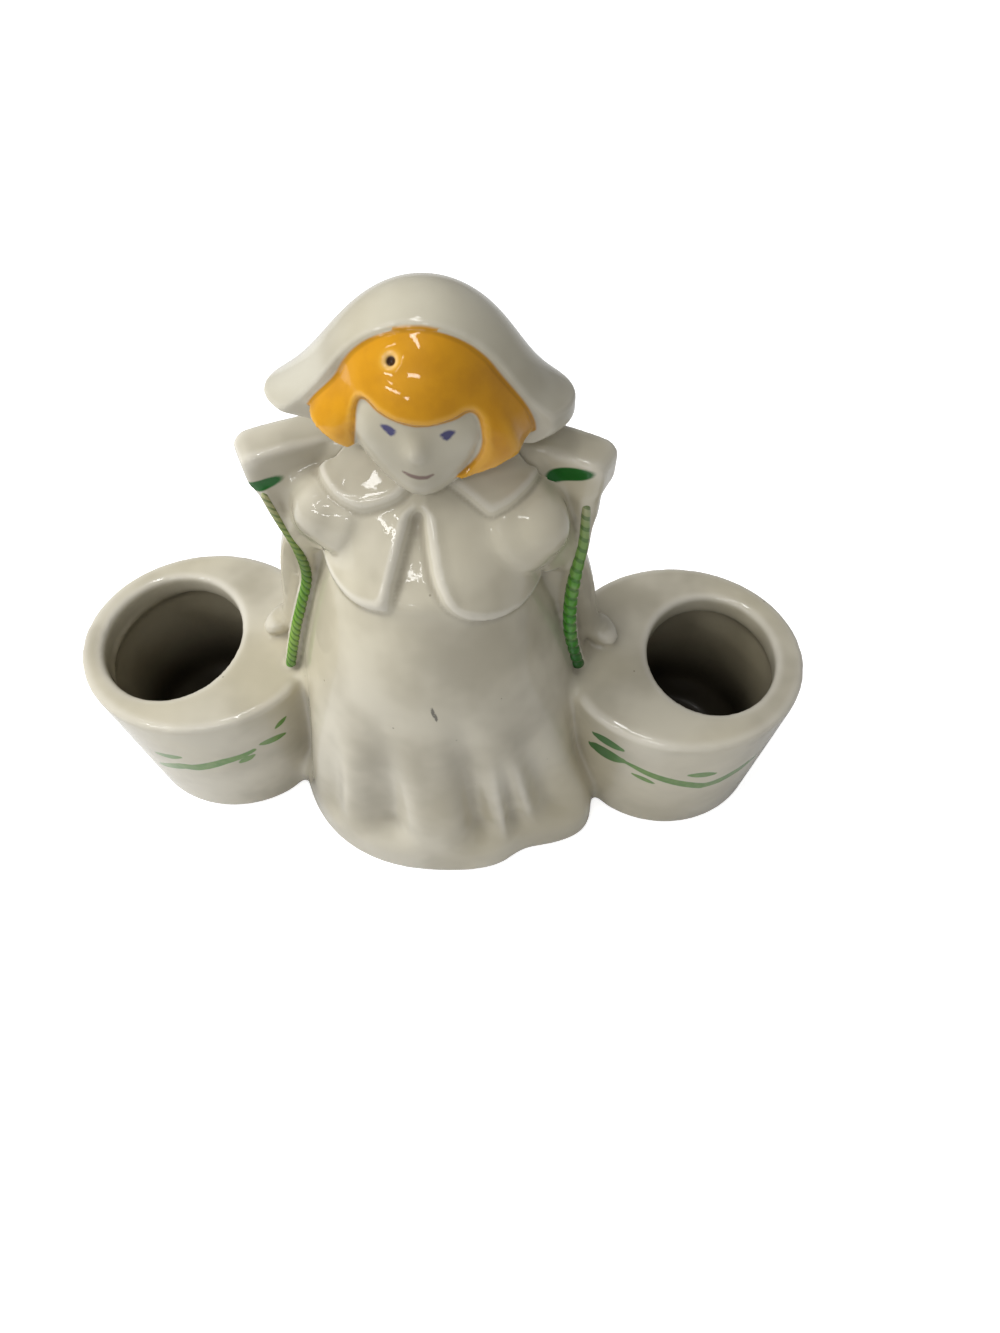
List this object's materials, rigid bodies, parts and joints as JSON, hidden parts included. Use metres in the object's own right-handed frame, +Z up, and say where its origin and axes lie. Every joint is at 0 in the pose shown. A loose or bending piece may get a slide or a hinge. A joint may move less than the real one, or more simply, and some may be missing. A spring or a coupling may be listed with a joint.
{
  "type": "figural double planter",
  "caption": "Glazed earthenware planter: a girl in a winged cap with a shoulder yoke and ropes stands between two round pails with off-centre openings.",
  "frame": {"origin": "on the surface the planter stands on, under the middle of its bounding box, which is the middle of the skirt's hem", "axes": "+X from pail to pail, to the right as the figure's front is seen; the figure faces -Y; +Z up"},
  "size_m": [0.1536, 0.0684, 0.1236],
  "materials": {
    "white_glaze": "glossy clear glaze over warm grey-white earthenware",
    "yellow_glaze": "glossy clear glaze over mustard yellow underglaze paint",
    "green_glaze": "glossy clear glaze over green brushed colour"
  },
  "bodies": {
    "root": {"skirt": "white_glaze", "jacket": "white_glaze", "collar_left": "white_glaze", "collar_right": "white_glaze", "sleeve_left": "white_glaze", "sleeve_right": "white_glaze", "forearm_left": "white_glaze", "forearm_right": "white_glaze", "hand_left": "white_glaze", "hand_right": "white_glaze", "head": "white_glaze", "hair": "yellow_glaze", "cap": "white_glaze", "yoke": "white_glaze", "rope_left": "green_glaze", "rope_right": "green_glaze", "pail_left": "white_glaze", "pail_right": "white_glaze"}
  },
  "joints": []
}
